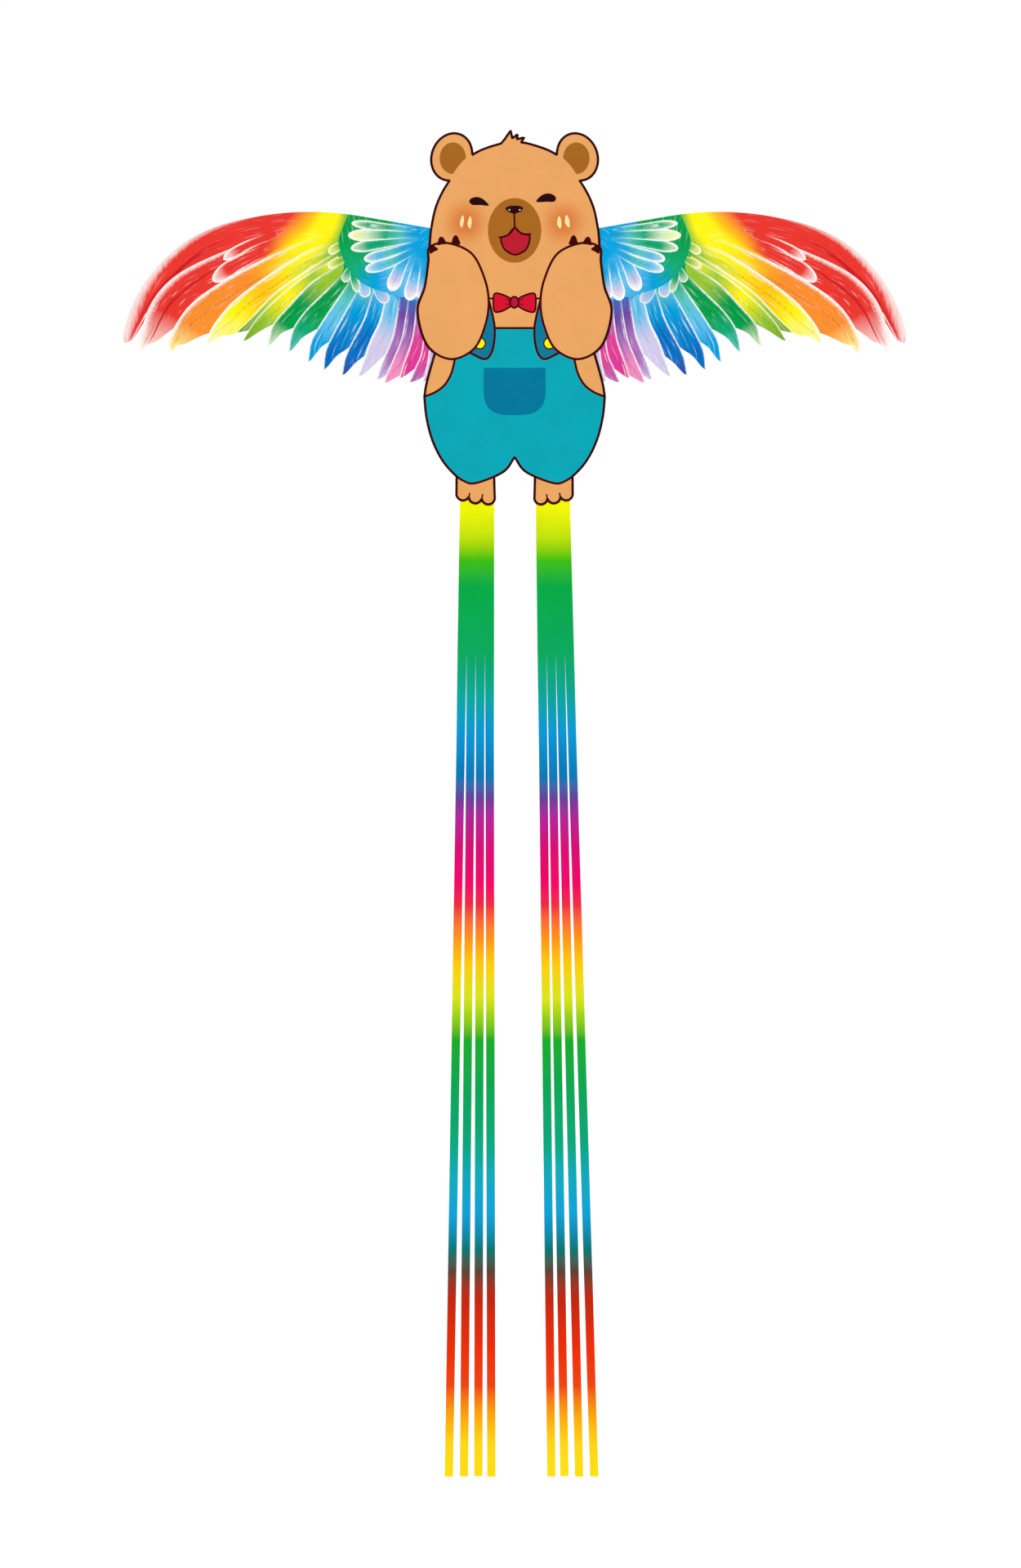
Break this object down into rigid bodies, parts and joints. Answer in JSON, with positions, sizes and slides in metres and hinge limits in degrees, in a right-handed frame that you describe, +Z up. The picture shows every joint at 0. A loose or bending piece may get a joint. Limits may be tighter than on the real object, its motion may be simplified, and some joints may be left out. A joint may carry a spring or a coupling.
{
  "type": "figure kite",
  "caption": "Bear-shaped figure kite with feathered wings on folding rods and two long rainbow ribbon tails slit into strips, flown from eyelets at the nose.",
  "frame": {"origin": "tow point, midway between the two eyelets in the bear's nose, at mid thickness of the body sail", "axes": "+Z up along the spine towards the hair, -Y out of the printed front, +X to the right of someone facing the front"},
  "size_m": [1.199, 0.0069, 2.062],
  "materials": {
    "body_cloth": "matte",
    "edge_tape": "matte",
    "wing_cloth": "matte",
    "tail_cloth": "matte",
    "pocket_cloth": "matte",
    "rod": "satin",
    "connector_plastic": "satin",
    "vinyl": "satin",
    "eyelet_metal": "satin"
  },
  "bodies": {
    "root": {"body_sail": "body_cloth", "edge_binding": "edge_tape", "tow_patch": "edge_tape", "tow_eyelets": "eyelet_metal", "spine": "rod", "head_connector": "connector_plastic", "wing_connector": "connector_plastic", "hip_connector": "connector_plastic", "rod_end_caps": "vinyl", "spine_top_pocket": "pocket_cloth", "spine_bottom_pocket": "pocket_cloth", "left_head_spar": "rod", "left_centre_spar": "rod", "left_hip_spar": "rod", "left_leg_batten": "rod", "left_leg_connector": "connector_plastic", "left_ear_pocket": "pocket_cloth", "left_hip_pocket": "pocket_cloth", "left_foot_pocket": "pocket_cloth", "left_seam_tape": "pocket_cloth", "left_joint_sleeve": "vinyl", "left_tail_tab": "tail_cloth", "right_head_spar": "rod", "right_centre_spar": "rod", "right_hip_spar": "rod", "right_leg_batten": "rod", "right_leg_connector": "connector_plastic", "right_ear_pocket": "pocket_cloth", "right_hip_pocket": "pocket_cloth", "right_foot_pocket": "pocket_cloth", "right_seam_tape": "pocket_cloth", "right_joint_sleeve": "vinyl", "right_tail_tab": "tail_cloth"},
    "left_wing": {"left_wing_sail": "wing_cloth", "left_wing_rod": "rod", "left_wing_pocket": "wing_cloth", "left_wing_tip_cap": "vinyl"},
    "left_tail": {"left_tail_header": "tail_cloth"},
    "left_tail_strip_1": {"left_tail_strip_1": "tail_cloth"},
    "left_tail_strip_2": {"left_tail_strip_2": "tail_cloth"},
    "left_tail_strip_3": {"left_tail_strip_3": "tail_cloth"},
    "left_tail_strip_4": {"left_tail_strip_4": "tail_cloth"},
    "right_wing": {"right_wing_sail": "wing_cloth", "right_wing_rod": "rod", "right_wing_pocket": "wing_cloth", "right_wing_tip_cap": "vinyl"},
    "right_tail": {"right_tail_header": "tail_cloth"},
    "right_tail_strip_1": {"right_tail_strip_1": "tail_cloth"},
    "right_tail_strip_2": {"right_tail_strip_2": "tail_cloth"},
    "right_tail_strip_3": {"right_tail_strip_3": "tail_cloth"},
    "right_tail_strip_4": {"right_tail_strip_4": "tail_cloth"}
  },
  "joints": [
    {"name": "left_wing_fold", "type": "hinge", "parent": "root", "child": "left_wing", "pos_m": [-0.118, 0.0032, 0], "axis": [0, 0, -1], "range_deg": [0, 75], "stiffness_Nm_per_rad": 0.3, "deforming": ["left_joint_sleeve"]},
    {"name": "left_tail_swing", "type": "hinge", "parent": "root", "child": "left_tail", "pos_m": [0, 0.0006, -0.4556], "axis": [1, 0, 0], "range_deg": [-45, 80]},
    {"name": "left_strip_1_swing", "type": "hinge", "parent": "left_tail", "child": "left_tail_strip_1", "pos_m": [0, 0.0006, -0.68], "axis": [1, 0, 0], "range_deg": [-45, 45]},
    {"name": "left_strip_2_swing", "type": "hinge", "parent": "left_tail", "child": "left_tail_strip_2", "pos_m": [0, 0.0006, -0.68], "axis": [1, 0, 0], "range_deg": [-45, 45]},
    {"name": "left_strip_3_swing", "type": "hinge", "parent": "left_tail", "child": "left_tail_strip_3", "pos_m": [0, 0.0006, -0.68], "axis": [1, 0, 0], "range_deg": [-45, 45]},
    {"name": "left_strip_4_swing", "type": "hinge", "parent": "left_tail", "child": "left_tail_strip_4", "pos_m": [0, 0.0006, -0.68], "axis": [1, 0, 0], "range_deg": [-45, 45]},
    {"name": "right_wing_fold", "type": "hinge", "parent": "root", "child": "right_wing", "pos_m": [0.118, 0.0032, 0], "axis": [0, 0, 1], "range_deg": [0, 75], "stiffness_Nm_per_rad": 0.3, "deforming": ["right_joint_sleeve"]},
    {"name": "right_tail_swing", "type": "hinge", "parent": "root", "child": "right_tail", "pos_m": [0, 0.0006, -0.4556], "axis": [1, 0, 0], "range_deg": [-45, 80]},
    {"name": "right_strip_1_swing", "type": "hinge", "parent": "right_tail", "child": "right_tail_strip_1", "pos_m": [0, 0.0006, -0.68], "axis": [1, 0, 0], "range_deg": [-45, 45]},
    {"name": "right_strip_2_swing", "type": "hinge", "parent": "right_tail", "child": "right_tail_strip_2", "pos_m": [0, 0.0006, -0.68], "axis": [1, 0, 0], "range_deg": [-45, 45]},
    {"name": "right_strip_3_swing", "type": "hinge", "parent": "right_tail", "child": "right_tail_strip_3", "pos_m": [0, 0.0006, -0.68], "axis": [1, 0, 0], "range_deg": [-45, 45]},
    {"name": "right_strip_4_swing", "type": "hinge", "parent": "right_tail", "child": "right_tail_strip_4", "pos_m": [0, 0.0006, -0.68], "axis": [1, 0, 0], "range_deg": [-45, 45]}
  ]
}
